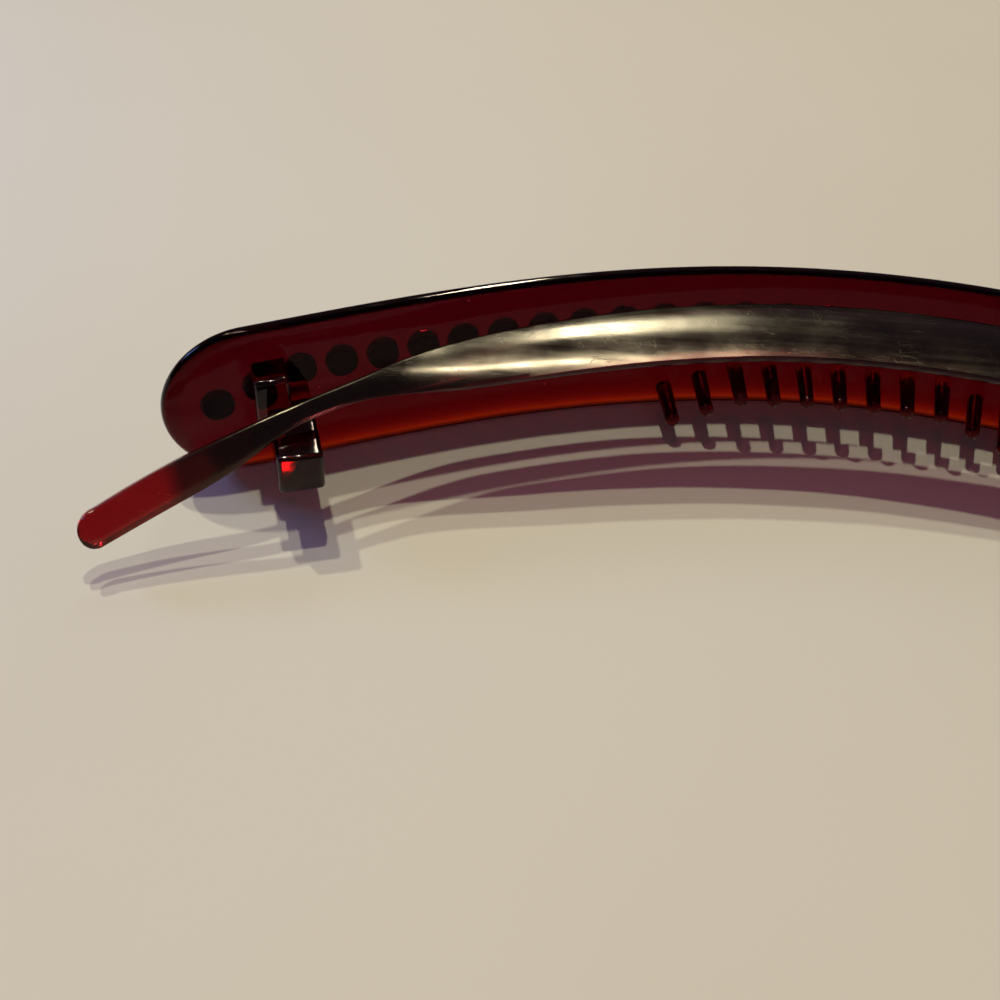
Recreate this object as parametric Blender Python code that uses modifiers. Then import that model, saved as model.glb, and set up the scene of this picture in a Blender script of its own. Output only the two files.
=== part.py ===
"""An arched hair clip: a translucent plate with a comb row and a two-pronged catch on its hollow side,
a sprung tongue on a pin at one end, and a row of cut stones on its outer side.

Units are metres, +Z is up. The clip stands on the lower long edge of its plate, with the crown of
the arch towards +Y and the hollow side towards -Y. Along the clip, places are given by three
numbers: s, the distance along the arch from its middle; depth, measured from the outer face into
the hollow; and z.
"""

import math

import bmesh
import bpy
import numpy as np
from mathutils import Matrix, Vector

MM = 0.001

# Plate
PLATE_HALF_LENGTH = 50.0 * MM
PLATE_WIDTH = 12.0 * MM
PLATE_THICKNESS = 0.95 * MM
CROWN_RADIUS = 62.3 * MM
END_ANGLE = math.radians(24.1)
PLATE_STATIONS = 44
END_STATIONS = 9
# depth, how far the outline is drawn in at the tips, and along the two long edges
PLATE_OUTLINES = (
    (0.0, 0.30 * MM, 0.22 * MM),
    (0.20 * MM, 0.0, 0.0),
    (0.62 * MM, 0.15 * MM, 0.0),
    (0.85 * MM, 0.80 * MM, 0.16 * MM),
    (PLATE_THICKNESS, 1.20 * MM, 0.34 * MM),
)
SHARP_ANGLE = math.radians(35)

# Comb row on the hollow side
TOOTH_COUNT = 11
TOOTH_PITCH = 2.6 * MM
TOOTH_LENGTH = 4.3 * MM
TOOTH_ROOT_RADIUS = 0.62 * MM
TOOTH_TIP_RADIUS = 0.5 * MM
TOOTH_ROW_HEIGHT = 3.5 * MM
TOOTH_STEP_DOWN = 0.9 * MM
TOOTH_STEPPED_EACH_END = 2
TOOTH_SIDES = 12

# Catch prongs near the -X end
PRONG_LEAN = math.radians(18.5)
PRONG_BEVEL = 0.3 * MM
PRONG_SINK = PLATE_THICKNESS * 0.55
# name, place along the arch, width, length in front of the hollow face, lower and upper side
PRONGS = (
    ("upper_prong_stock", -42.5 * MM, 2.4 * MM, 2.4 * MM, 5.0 * MM, 9.4 * MM),
    ("lower_prong_stock", -41.4 * MM, 3.1 * MM, 7.75 * MM, 3.95 * MM, 7.05 * MM),
)

# Hinge near the +X end
HINGE_ALONG = 43.6 * MM
HINGE_STANDOFF = 2.15 * MM
KNUCKLE_RADIUS = 1.6 * MM
KNUCKLE_BOTTOM = 4.9 * MM
KNUCKLE_TOP = 10.1 * MM
PIN_RADIUS = 0.6 * MM
RUNNING_GAP = 0.3 * MM
LUG_THICKNESS = 1.4 * MM
LUG_SINK = 0.5 * MM
ROUND_SIDES = 32

# Tongue
TONGUE_CROWN = 0.4 * MM
CROWN_PER_WIDTH = 0.07
TONGUE_EDGE = 0.26 * MM
EDGE_PER_THICKNESS = 0.25
FRONT_DRAFT = 0.12
SECTIONS_PER_ROW = 4
# s, standoff of the face's middle from the hollow face, its height, the face's width, thickness, all
# in millimetres, and the lean of the face in degrees: 0 stands upright, 90 lies flat
TONGUE_ROWS = (
    (42.6, 2.72, 7.90, 3.80, 1.15, 0.0),
    (40.2, 2.75, 8.10, 3.90, 1.15, 5.0),
    (37.0, 3.00, 8.70, 4.30, 1.20, 28.0),
    (33.0, 3.60, 9.50, 4.80, 1.25, 55.0),
    (28.0, 4.20, 10.30, 5.20, 1.30, 75.0),
    (20.0, 4.60, 11.00, 5.50, 1.30, 84.0),
    (5.0, 4.78, 11.12, 5.57, 1.30, 86.0),
    (-7.0, 4.63, 10.93, 5.56, 1.30, 86.0),
    (-17.0, 4.33, 10.40, 5.35, 1.30, 85.0),
    (-26.0, 4.15, 9.82, 4.60, 1.25, 80.0),
    (-30.0, 3.96, 9.43, 4.00, 1.20, 77.0),
    (-33.7, 4.00, 9.19, 2.70, 1.10, 68.0),
    (-37.0, 4.26, 8.98, 1.50, 0.95, 52.0),
    (-40.0, 4.72, 8.71, 1.30, 0.80, 42.0),
    (-42.2, 5.22, 8.50, 1.35, 0.80, 36.0),
    (-43.4, 5.50, 8.28, 1.50, 0.80, 34.0),
    (-44.8, 5.80, 7.75, 1.95, 0.85, 32.0),
    (-47.0, 6.02, 6.85, 2.55, 1.00, 30.0),
    (-50.0, 6.20, 5.75, 2.75, 1.10, 30.0),
    (-53.3, 6.60, 4.60, 2.75, 1.10, 30.0),
    (-55.7, 7.00, 3.75, 2.65, 1.05, 30.0),
)
TAB_END_STEPS = 5
TAB_END_LENGTH = 1.3
TAB_END_BOW = 0.35
TAB_END_THINNING = 0.6

# Stones on the outer side
STONE_COUNT = 32
STONE_PITCH = 2.97 * MM
STONE_RADIUS = 1.2 * MM
STONE_BASE_RADIUS = 1.1 * MM
STONE_TABLE_RADIUS = 0.68 * MM
STONE_GIRDLE = 0.35 * MM
STONE_HEIGHT = 1.0 * MM
STONE_SEAT_GAP = 0.12 * MM
STONE_FACETS = 8
STONE_ROW_HEIGHT = 7.4 * MM
STONE_ROW_END_HEIGHT = 5.6 * MM
STONE_ROW_BEND_START = 47.0 * MM
STONE_ROW_BEND_LENGTH = 7.0 * MM


def clear_scene():
    for obj in list(bpy.data.objects):
        bpy.data.objects.remove(obj, do_unlink=True)


def new_collection(name):
    collection = bpy.data.collections.new(name)
    bpy.context.scene.collection.children.link(collection)
    return collection


clear_scene()
CLIP = new_collection("hair_clip")
HELPERS = new_collection("helpers")


def plain_material(name, color, roughness, metallic=0.0, transmission=0.0):
    material = bpy.data.materials.new(name)
    material.use_nodes = True
    shader = material.node_tree.nodes["Principled BSDF"]
    shader.inputs["Base Color"].default_value = (*color, 1.0)
    shader.inputs["Roughness"].default_value = roughness
    shader.inputs["Metallic"].default_value = metallic
    shader.inputs["Transmission Weight"].default_value = transmission
    material.diffuse_color = (*color, 1.0)
    return material


def as_object(name, bm, collection, material=None):
    bmesh.ops.recalc_face_normals(bm, faces=bm.faces)
    mesh = bpy.data.meshes.new(name)
    bm.to_mesh(mesh)
    bm.free()
    obj = bpy.data.objects.new(name, mesh)
    collection.objects.link(obj)
    if material is not None:
        mesh.materials.append(material)
    return obj


def as_helper(obj):
    obj.hide_render = True
    obj.display_type = "WIRE"
    return obj


def round_off(obj):
    """Smooth shading, with an edge kept sharp where two faces meet at more than the angle."""
    obj.data.shade_smooth()
    obj.data.set_sharp_from_angle(angle=SHARP_ANGLE)


def boolean(obj, other, operation):
    modifier = obj.modifiers.new(f"{operation.lower()} {other.name}", "BOOLEAN")
    modifier.operation = operation
    modifier.solver = "EXACT"
    modifier.object = other


# The arch. Its tangent turns by angle(s), fast at the crown and hardly at all near the ends.
CURVATURE = 1 / CROWN_RADIUS
EASING = (END_ANGLE - CURVATURE * PLATE_HALF_LENGTH) / PLATE_HALF_LENGTH**3
INTEGRATION_STEPS = 80


def arch_angle(s):
    return CURVATURE * s + EASING * s**3


def summed(values, steps):
    """The area under values over steps, by trapezoids."""
    return float(np.sum((values[1:] + values[:-1]) / 2 * np.diff(steps)))


def arch_frame(s):
    """The outer face's point at s in plan, and the unit vector from there into the hollow."""
    inside = max(-PLATE_HALF_LENGTH, min(PLATE_HALF_LENGTH, s))
    steps = np.linspace(0.0, inside, INTEGRATION_STEPS + 1)
    angles = arch_angle(steps)
    angle = arch_angle(inside)
    beyond = s - inside
    x = summed(np.cos(angles), steps) + beyond * math.cos(angle)
    y = -summed(np.sin(angles), steps) - beyond * math.sin(angle)
    return Vector((x, y)), Vector((-math.sin(angle), -math.cos(angle)))


def place(s, depth, z):
    point, inward = arch_frame(s)
    spot = point + inward * depth
    return Vector((spot.x, spot.y, z))


# Plate


def half_outline(half_length, half_width):
    """(s, height above the plate's middle line) from the -X tip over the upper side to the +X tip."""
    center = half_length - half_width
    turn = [math.pi / 2 * i / END_STATIONS for i in range(END_STATIONS)]
    left = [(-center - half_width * math.cos(a), half_width * math.sin(a)) for a in turn]
    straight = [
        (-center + 2 * center * i / PLATE_STATIONS, half_width) for i in range(PLATE_STATIONS + 1)
    ]
    right = [(-s, h) for s, h in reversed(left)]
    return left + straight + right


def plate_blank(material):
    """The bare plate: outlines stacked through the thickness, bent onto the arch."""
    middle = PLATE_WIDTH / 2
    bm = bmesh.new()
    loops = []
    for depth, tip_inset, edge_inset in PLATE_OUTLINES:
        half = half_outline(PLATE_HALF_LENGTH - tip_inset, middle - edge_inset)
        upper = [bm.verts.new(place(s, depth, middle + h)) for s, h in half]
        lower = [bm.verts.new(place(s, depth, middle - h)) for s, h in half[1:-1]]
        loops.append((upper, [upper[0], *lower, upper[-1]]))
    for (upper, lower), (next_upper, next_lower) in zip(loops, loops[1:]):
        for row, next_row in ((upper, next_upper), (lower, next_lower)):
            for i in range(len(row) - 1):
                bm.faces.new((row[i], row[i + 1], next_row[i + 1], next_row[i]))
    for upper, lower in (loops[0], loops[-1]):
        for i in range(len(upper) - 1):
            corners = [upper[i], upper[i + 1], lower[i + 1], lower[i]]
            bm.faces.new(list(dict.fromkeys(corners)))
    return as_object("plate", bm, CLIP, material)


def turned_mesh(name, profile, sides):
    """A closed turned shape about +Z from (radius, z) points that run down its outer side."""
    bm = bmesh.new()
    points = [bm.verts.new((radius, 0.0, z)) for radius, z in profile]
    for a, b in zip(points, points[1:]):
        bm.edges.new((a, b))
    mesh = bpy.data.meshes.new(name)
    bm.to_mesh(mesh)
    bm.free()
    obj = bpy.data.objects.new(name, mesh)
    HELPERS.objects.link(obj)
    screw = obj.modifiers.new("turn", "SCREW")
    screw.steps = sides
    screw.render_steps = sides
    screw.use_merge_vertices = True
    screw.merge_threshold = 0.00001
    bpy.context.view_layer.update()
    turned = bpy.data.meshes.new_from_object(obj.evaluated_get(bpy.context.evaluated_depsgraph_get()))
    bpy.data.objects.remove(obj, do_unlink=True)
    return turned


def tooth_height(index):
    """The middle teeth stand in line; the last ones at each end step down towards the lower edge."""
    from_end = min(index, TOOTH_COUNT - 1 - index)
    return TOOTH_ROW_HEIGHT - TOOTH_STEP_DOWN * max(0, TOOTH_STEPPED_EACH_END - from_end)


def comb_stock():
    """All teeth as one helper, each a tapered peg with a domed tip, rooted inside the plate."""
    root = -PLATE_THICKNESS / 2
    dome = [
        (TOOTH_TIP_RADIUS * math.cos(a), TOOTH_LENGTH - TOOTH_TIP_RADIUS + TOOTH_TIP_RADIUS * math.sin(a))
        for a in (math.radians(d) for d in (90, 60, 30, 0))
    ]
    peg = turned_mesh("tooth_stock", dome + [(TOOTH_ROOT_RADIUS, root), (0.0, root)], TOOTH_SIDES)
    bm = bmesh.new()
    for i in range(TOOTH_COUNT):
        s = (i - (TOOTH_COUNT - 1) / 2) * TOOTH_PITCH
        _, inward = arch_frame(s)
        aim = Vector((inward.x, inward.y, 0)).to_track_quat("Z", "Y").to_matrix().to_4x4()
        spot = Matrix.Translation(place(s, PLATE_THICKNESS, tooth_height(i)))
        start = len(bm.verts)
        bm.from_mesh(peg)
        bm.verts.ensure_lookup_table()
        bmesh.ops.transform(bm, matrix=spot @ aim, verts=bm.verts[start:])
    return as_helper(as_object("comb_stock", bm, HELPERS))


def prong_stock(name, s, width, length, bottom, top):
    """A block that leans towards the crown, from inside the plate to its tip, with eased edges."""
    root = place(s, PLATE_THICKNESS, (bottom + top) / 2)
    along = Vector((math.sin(PRONG_LEAN), -math.cos(PRONG_LEAN), 0))
    across = Vector((math.cos(PRONG_LEAN), math.sin(PRONG_LEAN), 0))
    turn = Matrix((across, -along, Vector((0, 0, 1)))).transposed().to_4x4()
    center = root + along * (length - PRONG_SINK) / 2
    scale = Matrix.Diagonal((width, length + PRONG_SINK, top - bottom, 1))
    bm = bmesh.new()
    bmesh.ops.create_cube(bm, size=1.0, matrix=Matrix.Translation(center) @ turn @ scale)
    bmesh.ops.bevel(bm, geom=bm.edges, offset=PRONG_BEVEL, segments=2, affect="EDGES", profile=0.5)
    return as_helper(as_object(name, bm, HELPERS))


def upright_cylinder(name, center, radius, bottom, top, sides=ROUND_SIDES):
    bm = bmesh.new()
    middle = Vector((center.x, center.y, (bottom + top) / 2))
    bmesh.ops.create_cone(
        bm,
        cap_ends=True,
        segments=sides,
        radius1=radius,
        radius2=radius,
        depth=top - bottom,
        matrix=Matrix.Translation(middle),
    )
    return as_object(name, bm, HELPERS)


HINGE_POINT = place(HINGE_ALONG, PLATE_THICKNESS + HINGE_STANDOFF, 0)
LUG_BANDS = (
    (KNUCKLE_BOTTOM - RUNNING_GAP - LUG_THICKNESS, KNUCKLE_BOTTOM - RUNNING_GAP),
    (KNUCKLE_TOP + RUNNING_GAP, KNUCKLE_TOP + RUNNING_GAP + LUG_THICKNESS),
)


def lug_stock(name, bottom, top):
    """A lug: a straight-sided root in the plate that ends in a half-round about the hinge axis."""
    _, inward = arch_frame(HINGE_ALONG)
    inward = Vector((inward.x, inward.y, 0))
    side = Vector((-inward.y, inward.x, 0))
    root = place(HINGE_ALONG, LUG_SINK, 0)
    outline = [root - side * KNUCKLE_RADIUS]
    for i in range(ROUND_SIDES // 2 + 1):
        a = math.pi * i / (ROUND_SIDES // 2)
        outline.append(HINGE_POINT + KNUCKLE_RADIUS * (inward * math.sin(a) - side * math.cos(a)))
    outline.append(root + side * KNUCKLE_RADIUS)
    bm = bmesh.new()
    low = [bm.verts.new((p.x, p.y, bottom)) for p in outline]
    face = bm.faces.new(low)
    raised = bmesh.ops.extrude_face_region(bm, geom=[face])["geom"]
    moved = [v for v in raised if isinstance(v, bmesh.types.BMVert)]
    bmesh.ops.translate(bm, vec=(0, 0, top - bottom), verts=moved)
    return as_helper(as_object(name, bm, HELPERS))


def make_plate():
    """One moulding: plate, comb row, catch prongs and hinge lugs."""
    plate = plate_blank(plain_material("ruby_plastic", (0.20, 0.008, 0.012), 0.12, transmission=0.8))
    boolean(plate, comb_stock(), "UNION")
    for prong in PRONGS:
        boolean(plate, prong_stock(*prong), "UNION")
    for name, (bottom, top) in zip(("lower_lug_stock", "upper_lug_stock"), LUG_BANDS):
        boolean(plate, lug_stock(name, bottom, top), "UNION")
    bore = upright_cylinder(
        "lug_bore", HINGE_POINT, PIN_RADIUS + RUNNING_GAP, LUG_BANDS[0][0] - MM, LUG_BANDS[1][1] + MM
    )
    boolean(plate, as_helper(bore), "DIFFERENCE")
    round_off(plate)
    return plate


# Hinge pin


def make_pin():
    pin = upright_cylinder("hinge_pin", HINGE_POINT, PIN_RADIUS, LUG_BANDS[0][0], LUG_BANDS[1][1])
    HELPERS.objects.unlink(pin)
    CLIP.objects.link(pin)
    pin.data.materials.append(plain_material("pin_steel", (0.55, 0.54, 0.52), 0.3, metallic=1.0))
    round_off(pin)
    return pin


# Tongue


def between_rows(rows, steps):
    """The rows with others between them, on smooth curves through the given ones."""
    table = [np.array(row) for row in rows]
    first = 2 * table[0] - table[1]
    last = 2 * table[-1] - table[-2]
    ends = [first, *table, last]
    filled = []
    for i in range(len(table) - 1):
        a, b, c, d = ends[i : i + 4]
        for k in range(steps):
            t = k / steps
            filled.append(
                b
                + 0.5 * (c - a) * t
                + 0.5 * (2 * a - 5 * b + 4 * c - d) * t**2
                + 0.5 * (3 * b - a - 3 * c + d) * t**3
            )
    filled.append(table[-1])
    return filled


def tab_end(row):
    """Sections that close the tab with a round end: the last row shrunk about its own middle."""
    s, standoff, height, width, thickness, lean = row
    sections = []
    for i in range(1, TAB_END_STEPS + 1):
        a = math.pi / 2 * i / (TAB_END_STEPS + 0.5)
        shrink = math.cos(a)
        lost = thickness * TAB_END_THINNING * (1 - shrink)
        sections.append(
            (
                s - TAB_END_LENGTH * math.sin(a),
                standoff + TAB_END_BOW * math.sin(a) - lost / 2,
                height,
                width * shrink,
                thickness - lost,
                lean,
            )
        )
    return sections


def tongue_section(row):
    """The ring of one section: underside, eased back edge, crowned face, front side."""
    s, standoff, height, width, thickness = (value * MM for value in row[:5])
    lean = math.radians(row[5])
    up = Vector((-math.sin(lean), math.cos(lean)))
    out = Vector((math.cos(lean), math.sin(lean)))
    middle = Vector((PLATE_THICKNESS + standoff, height))
    half = width / 2
    edge = min(TONGUE_EDGE, thickness * EDGE_PER_THICKNESS)
    crown = min(TONGUE_CROWN, width * CROWN_PER_WIDTH)
    ring = (
        (thickness * FRONT_DRAFT - half, -thickness),
        (half - edge, -thickness),
        (half, edge - thickness),
        (half, -crown - edge),
        (half - edge, -crown),
        (half / 2, -crown / 4),
        (0.0, 0.0),
        (-half / 2, -crown / 4),
        (-half, -crown),
    )
    spots = [middle + up * across + out * raised for across, raised in ring]
    return [place(s, depth, z) for depth, z in spots]


def make_tongue():
    """The strip, its neck and its tab as one loft, joined to the knuckle that turns on the pin."""
    rows = between_rows(TONGUE_ROWS, SECTIONS_PER_ROW)
    rows += tab_end(rows[-1])
    bm = bmesh.new()
    rings = [[bm.verts.new(p) for p in tongue_section(row)] for row in rows]
    for ring, next_ring in zip(rings, rings[1:]):
        for i in range(len(ring)):
            j = (i + 1) % len(ring)
            bm.faces.new((ring[i], ring[j], next_ring[j], next_ring[i]))
    bm.faces.new(rings[0])
    bm.faces.new(rings[-1])
    bmesh.ops.triangulate(bm, faces=bm.faces)
    material = plain_material("ruby_plastic_tongue", (0.24, 0.012, 0.014), 0.15, transmission=0.8)
    tongue = as_object("tongue", bm, CLIP, material)
    knuckle = upright_cylinder("knuckle_stock", HINGE_POINT, KNUCKLE_RADIUS, KNUCKLE_BOTTOM, KNUCKLE_TOP)
    boolean(tongue, as_helper(knuckle), "UNION")
    bore = upright_cylinder(
        "knuckle_bore", HINGE_POINT, PIN_RADIUS + RUNNING_GAP, KNUCKLE_BOTTOM - MM, KNUCKLE_TOP + MM
    )
    boolean(tongue, as_helper(bore), "DIFFERENCE")
    round_off(tongue)
    return tongue


# Stones


def stone_height(s):
    """The row runs level, and dips towards the middle of the plate at each end."""
    t = (STONE_ROW_BEND_START - abs(s)) / STONE_ROW_BEND_LENGTH
    t = max(0.0, min(1.0, t))
    return STONE_ROW_END_HEIGHT + (STONE_ROW_HEIGHT - STONE_ROW_END_HEIGHT) * t * t * (3 - 2 * t)


def make_stones():
    """Flat-backed stones with a table and eight crown facets, seated on the outer face."""
    cut = turned_mesh(
        "stone_cut",
        (
            (0.0, STONE_HEIGHT),
            (STONE_TABLE_RADIUS, STONE_HEIGHT),
            (STONE_RADIUS, STONE_GIRDLE),
            (STONE_BASE_RADIUS, 0.0),
            (0.0, 0.0),
        ),
        STONE_FACETS,
    )
    cut.materials.append(plain_material("foiled_glass", (0.10, 0.09, 0.10), 0.05))
    half_facet = Matrix.Rotation(math.pi / STONE_FACETS, 4, "Z")
    stones = []
    for i in range(STONE_COUNT):
        s = (i - (STONE_COUNT - 1) / 2) * STONE_PITCH
        _, inward = arch_frame(s)
        outward = Vector((-inward.x, -inward.y, 0))
        stone = bpy.data.objects.new(f"stone_{i + 1:02d}", cut)
        CLIP.objects.link(stone)
        aim = outward.to_track_quat("Z", "Y").to_matrix().to_4x4()
        seat = Matrix.Translation(place(s, -STONE_SEAT_GAP, stone_height(s)))
        stone.matrix_world = seat @ aim @ half_facet
        stones.append(stone)
    return stones


def stand_over_origin(objects, helpers):
    """Moves everything so that the clip's box has its middle over the origin."""
    bpy.context.view_layer.update()
    graph = bpy.context.evaluated_depsgraph_get()
    corners = []
    for obj in objects:
        mesh = obj.evaluated_get(graph).to_mesh()
        corners += [obj.matrix_world @ v.co for v in mesh.vertices]
        obj.evaluated_get(graph).to_mesh_clear()
    middle = [(min(c[k] for c in corners) + max(c[k] for c in corners)) / 2 for k in (0, 1)]
    shift = Matrix.Translation((-middle[0], -middle[1], 0))
    for obj in (*objects, *helpers):
        obj.matrix_world = shift @ obj.matrix_world
    return shift


def set_turning_point(tongue, shift):
    """Puts the tongue's origin on the hinge axis, with its mesh left where it is."""
    axis = shift @ HINGE_POINT
    tongue.data.transform(Matrix.Translation(-axis) @ shift)
    tongue.matrix_world = Matrix.Translation(axis)


PLATE = make_plate()
PIN = make_pin()
TONGUE = make_tongue()
STONES = make_stones()
SHIFT = stand_over_origin([PLATE, PIN, TONGUE, *STONES], list(HELPERS.objects))
set_turning_point(TONGUE, SHIFT)
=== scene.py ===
"""An arched hair clip in translucent ruby plastic, seen from its hollow side on a pale table.

Units are metres, +Z is up. The clip stands on the lower long edge of its plate, with the crown of
the arch towards +Y. Along the clip, places are given by s, the distance along the arch from its
middle, by depth, measured from the outer face into the hollow, and by z.
"""

import math

import bmesh
import bpy
import numpy as np
from mathutils import Matrix, Vector


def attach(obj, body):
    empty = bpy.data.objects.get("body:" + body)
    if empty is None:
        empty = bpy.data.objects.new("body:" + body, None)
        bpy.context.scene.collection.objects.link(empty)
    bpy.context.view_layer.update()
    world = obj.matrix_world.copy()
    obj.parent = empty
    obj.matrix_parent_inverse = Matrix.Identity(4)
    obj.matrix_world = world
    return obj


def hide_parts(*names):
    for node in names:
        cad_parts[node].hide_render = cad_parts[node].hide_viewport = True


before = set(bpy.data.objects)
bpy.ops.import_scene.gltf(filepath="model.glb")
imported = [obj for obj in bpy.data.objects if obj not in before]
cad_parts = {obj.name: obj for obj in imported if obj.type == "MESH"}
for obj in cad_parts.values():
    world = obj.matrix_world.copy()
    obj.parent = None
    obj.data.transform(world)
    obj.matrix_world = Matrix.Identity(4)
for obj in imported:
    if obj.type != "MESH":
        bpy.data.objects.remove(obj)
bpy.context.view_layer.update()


# The plate is one injection moulding in clear dark-red plastic, bent into a shallow arch. Its rims
# are rounded on the outer side and drawn in to a wide bevel on the hollow side. The comb row, the
# catch prongs and the hinge lugs belong to the same moulding.

MM = 0.001
CROWN_POINT = (1.6909 * MM, 12.0896 * MM)
CROWN_RADIUS = 62.3 * MM
END_ANGLE = math.radians(24.1)
PLATE_HALF_LENGTH = 50.0 * MM
PLATE_WIDTH = 12.0 * MM
PLATE_THICKNESS = 0.95 * MM
PLATE_STATIONS = 200  # columns of the long straight edges
END_STATIONS = 26  # columns round a quarter of an end
# depth, how far the outline is drawn in at the tips, and along the long edges, in millimetres
PLATE_RIM = (
    (0.00, 0.30, 0.24),
    (0.02, 0.20, 0.15),
    (0.06, 0.11, 0.08),
    (0.12, 0.04, 0.03),
    (0.20, 0.00, 0.00),
    (0.40, 0.03, 0.00),
    (0.55, 0.09, 0.00),
    (0.66, 0.20, 0.02),
    (0.75, 0.40, 0.06),
    (0.83, 0.68, 0.13),
    (0.89, 0.92, 0.21),
    (0.93, 1.08, 0.28),
    (0.95, 1.20, 0.36),
)
SHARP_ANGLE = math.radians(38)

ARCH_STEPS = 4001
ARCH_S = np.linspace(-PLATE_HALF_LENGTH, PLATE_HALF_LENGTH, ARCH_STEPS)
EASING = (END_ANGLE - PLATE_HALF_LENGTH / CROWN_RADIUS) / PLATE_HALF_LENGTH**3
ARCH_TURN = ARCH_S / CROWN_RADIUS + EASING * ARCH_S**3


def summed(values):
    """Running trapezoid sum of values over ARCH_S, zero at the crown."""
    steps = (values[1:] + values[:-1]) / 2 * np.diff(ARCH_S)
    total = np.concatenate([[0.0], np.cumsum(steps)])
    return total - total[ARCH_STEPS // 2]


ARCH_X = summed(np.cos(ARCH_TURN))
ARCH_Y = summed(-np.sin(ARCH_TURN))


def arch(s):
    """Plan points of the outer face at s, and unit vectors from there into the hollow."""
    s = np.asarray(s, float)
    held = np.clip(s, -PLATE_HALF_LENGTH, PLATE_HALF_LENGTH)
    turn = np.interp(held, ARCH_S, ARCH_TURN)
    x = np.interp(held, ARCH_S, ARCH_X) + (s - held) * np.cos(turn)
    y = np.interp(held, ARCH_S, ARCH_Y) - (s - held) * np.sin(turn)
    points = np.stack([x + CROWN_POINT[0], y + CROWN_POINT[1]], axis=-1)
    return points, np.stack([-np.sin(turn), -np.cos(turn)], axis=-1)


def place(s, depth, z):
    points, inward = arch(s)
    plan = points + inward * np.asarray(depth, float)[..., None]
    return np.concatenate([plan, np.broadcast_to(z, plan.shape[:-1])[..., None]], axis=-1)


def linked(name, mesh):
    obj = bpy.data.objects.new(name, mesh)
    bpy.context.scene.collection.objects.link(obj)
    return obj


def mesh_from(name, bm):
    bmesh.ops.recalc_face_normals(bm, faces=bm.faces)
    mesh = bpy.data.meshes.new(name)
    bm.to_mesh(mesh)
    bm.free()
    return mesh


def plain_mesh(obj):
    """The evaluated mesh of obj, which is then removed with its modifiers."""
    graph = bpy.context.evaluated_depsgraph_get()
    mesh = bpy.data.meshes.new_from_object(obj.evaluated_get(graph), depsgraph=graph)
    bpy.data.objects.remove(obj, do_unlink=True)
    return mesh


def half_outline(half_length, half_width):
    """(s, height above the middle line) from the -X tip over the upper side to the +X tip."""
    center = half_length - half_width
    turn = np.linspace(0.0, math.pi / 2, END_STATIONS, endpoint=False)
    left = np.stack([-center - half_width * np.cos(turn), half_width * np.sin(turn)], axis=1)
    level = np.linspace(-center, center, PLATE_STATIONS + 1)
    straight = np.stack([level, np.full_like(level, half_width)], axis=1)
    return np.concatenate([left, straight, left[::-1] * (-1, 1)])


def plate_blank():
    bm = bmesh.new()
    middle = PLATE_WIDTH / 2
    loops = []
    for depth, tip_inset, edge_inset in PLATE_RIM:
        half = half_outline(PLATE_HALF_LENGTH - tip_inset * MM, middle - edge_inset * MM)
        levels = np.full(len(half), depth * MM)
        upper = [bm.verts.new(p) for p in place(half[:, 0], levels, middle + half[:, 1])]
        inner = slice(1, -1)
        lower = [bm.verts.new(p) for p in place(half[inner, 0], levels[inner], middle - half[inner, 1])]
        loops.append((upper, [upper[0], *lower, upper[-1]]))
    for (upper, lower), (next_upper, next_lower) in zip(loops, loops[1:]):
        for row, next_row in ((upper, next_upper), (lower, next_lower)):
            for i in range(len(row) - 1):
                bm.faces.new((row[i], row[i + 1], next_row[i + 1], next_row[i]))
    for upper, lower in (loops[0], loops[-1]):
        for i in range(len(upper) - 1):
            bm.faces.new(list(dict.fromkeys([upper[i], upper[i + 1], lower[i + 1], lower[i]])))
    return mesh_from("plate_blank", bm)


# The comb row grips the hair: eleven tapered pegs with domed tips, moulded on the hollow side just
# above the lower edge. The two at each end step down towards the edge.

TOOTH_COUNT = 11
TOOTH_PITCH = 2.6 * MM
TOOTH_LENGTH = 4.3 * MM
TOOTH_ROOT_RADIUS = 0.62 * MM
TOOTH_TIP_RADIUS = 0.5 * MM
TOOTH_ROW_HEIGHT = 3.5 * MM
TOOTH_STEP_DOWN = 0.9 * MM
TOOTH_STEPPED_EACH_END = 2
TOOTH_SIDES = 24
TOOTH_RINGS = 26
TOOTH_SINK = PLATE_THICKNESS / 2
TIP_FLAT = 0.01  # square of the dome's least radius share, so that the tip closes on a small flat


def new_tree(name, inputs):
    """A geometry node tree with a Geometry input and output and the named inputs."""
    tree = bpy.data.node_groups.new(name, "GeometryNodeTree")
    tree.interface.new_socket("Geometry", in_out="INPUT", socket_type="NodeSocketGeometry")
    for label, kind in inputs:
        tree.interface.new_socket(label, in_out="INPUT", socket_type="NodeSocket" + kind)
    tree.interface.new_socket("Geometry", in_out="OUTPUT", socket_type="NodeSocketGeometry")
    return tree, tree.nodes.new("NodeGroupInput"), tree.nodes.new("NodeGroupOutput")


def add_node(tree, kind, inputs=None, **settings):
    """A node with its settings, whose inputs are values or the sockets that feed them."""
    made = tree.nodes.new(kind)
    for key, value in settings.items():
        setattr(made, key, value)
    for key, value in (inputs or {}).items():
        if isinstance(value, bpy.types.NodeSocket):
            tree.links.new(value, made.inputs[key])
        else:
            made.inputs[key].default_value = value
    return made


def math_node(tree, operation, *values, clamp=False):
    made = add_node(tree, "ShaderNodeMath", dict(enumerate(values)), operation=operation)
    made.use_clamp = clamp
    return made.outputs[0]


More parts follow.
